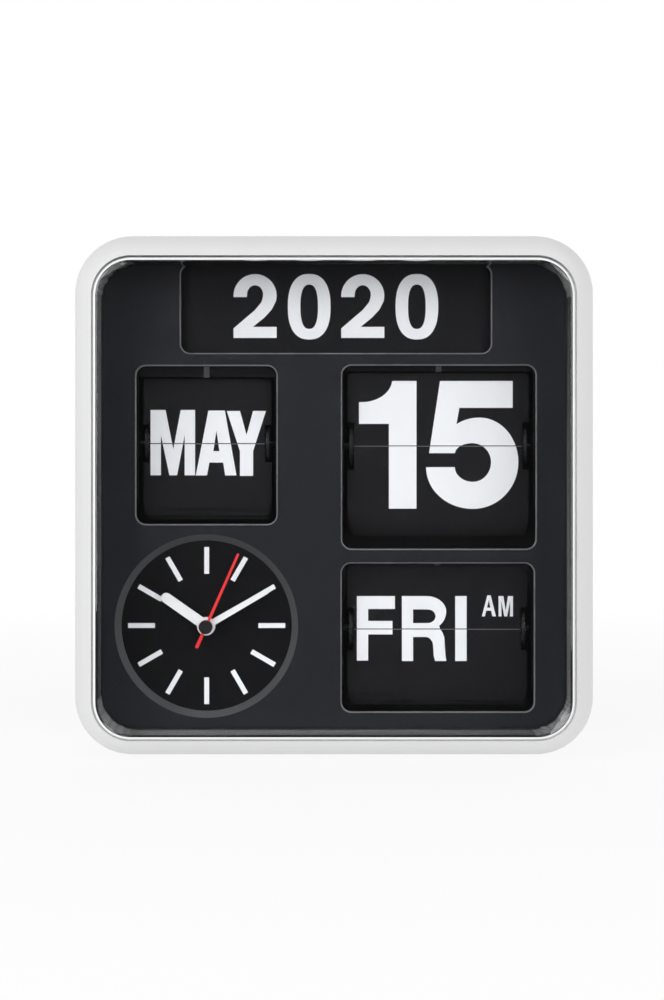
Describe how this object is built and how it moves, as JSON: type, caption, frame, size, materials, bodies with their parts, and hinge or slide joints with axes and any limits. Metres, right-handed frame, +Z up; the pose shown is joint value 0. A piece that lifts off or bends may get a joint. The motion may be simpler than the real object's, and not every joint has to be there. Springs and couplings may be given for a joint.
{
  "type": "calendar flip clock",
  "caption": "White square calendar flip clock: split-leaf month, date and day, a year scroll and a small analogue dial behind a clear cover.",
  "frame": {"origin": "middle of the overall box, on the plane the clock stands on", "axes": "+Z up, the display faces -Y, +X to the viewer's right"},
  "size_m": [0.24, 0.098, 0.24],
  "materials": {
    "white_case": "satin moulded plastic",
    "clear_cover": "clear polished acrylic",
    "face_black": "satin black",
    "dial_black": "matt black",
    "leaf_black": "thin matt black card plastic",
    "film_black": "printed film",
    "frame_grey": "moulded dark grey",
    "gear_white": "natural moulded plastic",
    "wheel_grey": "moulded dark grey",
    "steel": "plated steel",
    "hand_white": "white paint",
    "hand_red": "red paint",
    "cell_jacket": "printed jacket"
  },
  "bodies": {
    "clock": {"casing": "white_case", "front_cover": "clear_cover", "faceplate": "face_black", "face_screws": "steel", "rear_cover": "face_black", "rear_screws": "steel", "battery_holder": "face_black", "battery_cell": "cell_jacket", "battery_contacts": "steel", "dial": "dial_black", "movement": "face_black", "dial_nut": "dial_black", "month_frame": "frame_grey", "date_frame": "frame_grey", "day_frame": "frame_grey", "leaf_catches": "steel", "frame_screws": "steel", "calendar_drive": "frame_grey", "year_frame": "frame_grey", "year_film": "film_black"},
    "battery_door": {"battery_door": "face_black"},
    "hour_hand": {"hour_hand": "hand_white"},
    "minute_hand": {"minute_hand": "hand_white"},
    "second_hand": {"second_hand": "hand_red", "second_cap": "dial_black"},
    "time_knob": {"time_knob": "wheel_grey"},
    "month_spool": {"month_axle": "steel", "month_spool": "frame_grey", "month_cheek": "frame_grey", "month_gear": "gear_white"},
    "month_leaves": {"month_leaves": "leaf_black"},
    "month_flap": {"month_flap": "leaf_black"},
    "month_wheel": {"month_wheel": "wheel_grey"},
    "month_pinion": {"month_pinion": "gear_white"},
    "date_spool": {"date_axle": "steel", "date_spool": "frame_grey", "date_cheek": "frame_grey", "date_gear": "gear_white"},
    "date_leaves": {"date_leaves": "leaf_black"},
    "date_flap": {"date_flap": "leaf_black"},
    "date_wheel": {"date_wheel": "wheel_grey"},
    "date_pinion": {"date_pinion": "gear_white"},
    "day_spool": {"day_axle": "steel", "day_spool": "frame_grey", "day_cheek": "frame_grey", "day_gear": "gear_white"},
    "day_leaves": {"day_leaves": "leaf_black"},
    "day_flap": {"day_flap": "leaf_black"},
    "day_wheel": {"day_wheel": "wheel_grey"},
    "day_pinion": {"day_pinion": "gear_white"},
    "year_lower_spool": {"year_lower_spool": "leaf_black", "year_gear": "gear_white"},
    "year_upper_spool": {"year_upper_spool": "leaf_black"},
    "year_wheel": {"year_wheel": "wheel_grey"}
  },
  "joints": [
    {"name": "minute_hand_turn", "type": "hinge", "parent": "clock", "child": "minute_hand", "pos_m": [-0.0595, -0.0105, 0.0588], "axis": [0, 1, 0], "continuous": true},
    {"name": "hour_hand_turn", "type": "hinge", "parent": "clock", "child": "hour_hand", "pos_m": [-0.0595, -0.0105, 0.0588], "axis": [0, 1, 0], "continuous": true},
    {"name": "second_hand_turn", "type": "hinge", "parent": "clock", "child": "second_hand", "pos_m": [-0.0595, -0.0105, 0.0588], "axis": [0, 1, 0], "continuous": true},
    {"name": "time_knob_turn", "type": "hinge", "parent": "clock", "child": "time_knob", "pos_m": [-0.0595, 0.047, 0.0468], "axis": [0, 1, 0], "continuous": true},
    {"name": "battery_door_pull", "type": "slide", "parent": "clock", "child": "battery_door", "axis": [0, 1, 0], "range_m": [0, 0.04]},
    {"name": "month_spool_turn", "type": "hinge", "parent": "clock", "child": "month_spool", "pos_m": [0, 0.00195, 0.1438], "axis": [1, 0, 0], "continuous": true},
    {"name": "month_wheel_turn", "type": "hinge", "parent": "clock", "child": "month_wheel", "pos_m": [0, 0.02968, 0.1438], "axis": [1, 0, 0], "continuous": true},
    {"name": "month_pinion_turn", "type": "hinge", "parent": "clock", "child": "month_pinion", "pos_m": [0, 0.00195, 0.1267], "axis": [1, 0, 0], "continuous": true},
    {"name": "month_leaves_step", "type": "hinge", "parent": "clock", "child": "month_leaves", "pos_m": [0, 0.00195, 0.1438], "axis": [1, 0, 0], "range_deg": [0, 30]},
    {"name": "month_flap_fall", "type": "hinge", "parent": "month_leaves", "child": "month_flap", "pos_m": [0, -0.005, 0.14566], "axis": [1, 0, 0], "range_deg": [0, 150.01]},
    {"name": "date_spool_turn", "type": "hinge", "parent": "clock", "child": "date_spool", "pos_m": [0, 0.00455, 0.1427], "axis": [1, 0, 0], "continuous": true},
    {"name": "date_wheel_turn", "type": "hinge", "parent": "clock", "child": "date_wheel", "pos_m": [0, 0.03228, 0.1427], "axis": [1, 0, 0], "continuous": true},
    {"name": "date_pinion_turn", "type": "hinge", "parent": "clock", "child": "date_pinion", "pos_m": [0, 0.00455, 0.12262], "axis": [1, 0, 0], "continuous": true},
    {"name": "date_leaves_step", "type": "hinge", "parent": "clock", "child": "date_leaves", "pos_m": [0, 0.00455, 0.1427], "axis": [1, 0, 0], "range_deg": [0, 11.61]},
    {"name": "date_flap_fall", "type": "hinge", "parent": "date_leaves", "child": "date_flap", "pos_m": [0, -0.005, 0.14367], "axis": [1, 0, 0], "range_deg": [0, 168.4]},
    {"name": "day_spool_turn", "type": "hinge", "parent": "clock", "child": "day_spool", "pos_m": [0, 0.00329, 0.0567], "axis": [1, 0, 0], "continuous": true},
    {"name": "day_wheel_turn", "type": "hinge", "parent": "clock", "child": "day_wheel", "pos_m": [0, 0.03101, 0.0567], "axis": [1, 0, 0], "continuous": true},
    {"name": "day_pinion_turn", "type": "hinge", "parent": "clock", "child": "day_pinion", "pos_m": [0, 0.00329, 0.0755], "axis": [1, 0, 0], "continuous": true},
    {"name": "day_leaves_step", "type": "hinge", "parent": "clock", "child": "day_leaves", "pos_m": [0, 0.00329, 0.0567], "axis": [1, 0, 0], "range_deg": [0, 25.71]},
    {"name": "day_flap_fall", "type": "hinge", "parent": "day_leaves", "child": "day_flap", "pos_m": [0, -0.005, 0.05859], "axis": [1, 0, 0], "range_deg": [0, 154.3]},
    {"name": "year_lower_turn", "type": "hinge", "parent": "clock", "child": "year_lower_spool", "pos_m": [0, 0.017, 0.1895], "axis": [1, 0, 0], "continuous": true},
    {"name": "year_upper_turn", "type": "hinge", "parent": "clock", "child": "year_upper_spool", "pos_m": [0, 0.017, 0.2235], "axis": [1, 0, 0], "continuous": true},
    {"name": "year_wheel_turn", "type": "hinge", "parent": "clock", "child": "year_wheel", "pos_m": [0, 0.03707, 0.1895], "axis": [1, 0, 0], "continuous": true}
  ],
  "couplings": [
    {"joint": "hour_hand_turn", "follows": "minute_hand_turn", "ratio": 0.083333},
    {"joint": "time_knob_turn", "follows": "minute_hand_turn", "ratio": -1},
    {"joint": "month_wheel_turn", "follows": "month_spool_turn", "ratio": -0.58537},
    {"joint": "month_pinion_turn", "follows": "month_spool_turn", "ratio": -1.5},
    {"joint": "month_flap_fall", "follows": "month_leaves_step", "ratio": 5},
    {"joint": "date_wheel_turn", "follows": "date_spool_turn", "ratio": -0.91176},
    {"joint": "date_pinion_turn", "follows": "date_spool_turn", "ratio": -1.9375},
    {"joint": "date_flap_fall", "follows": "date_leaves_step", "ratio": 14.5},
    {"joint": "day_wheel_turn", "follows": "day_spool_turn", "ratio": -0.75676},
    {"joint": "day_pinion_turn", "follows": "day_spool_turn", "ratio": -1.75},
    {"joint": "day_flap_fall", "follows": "day_leaves_step", "ratio": 6},
    {"joint": "year_upper_turn", "follows": "year_lower_turn", "ratio": 1},
    {"joint": "year_wheel_turn", "follows": "year_lower_turn", "ratio": -1.0435}
  ]
}
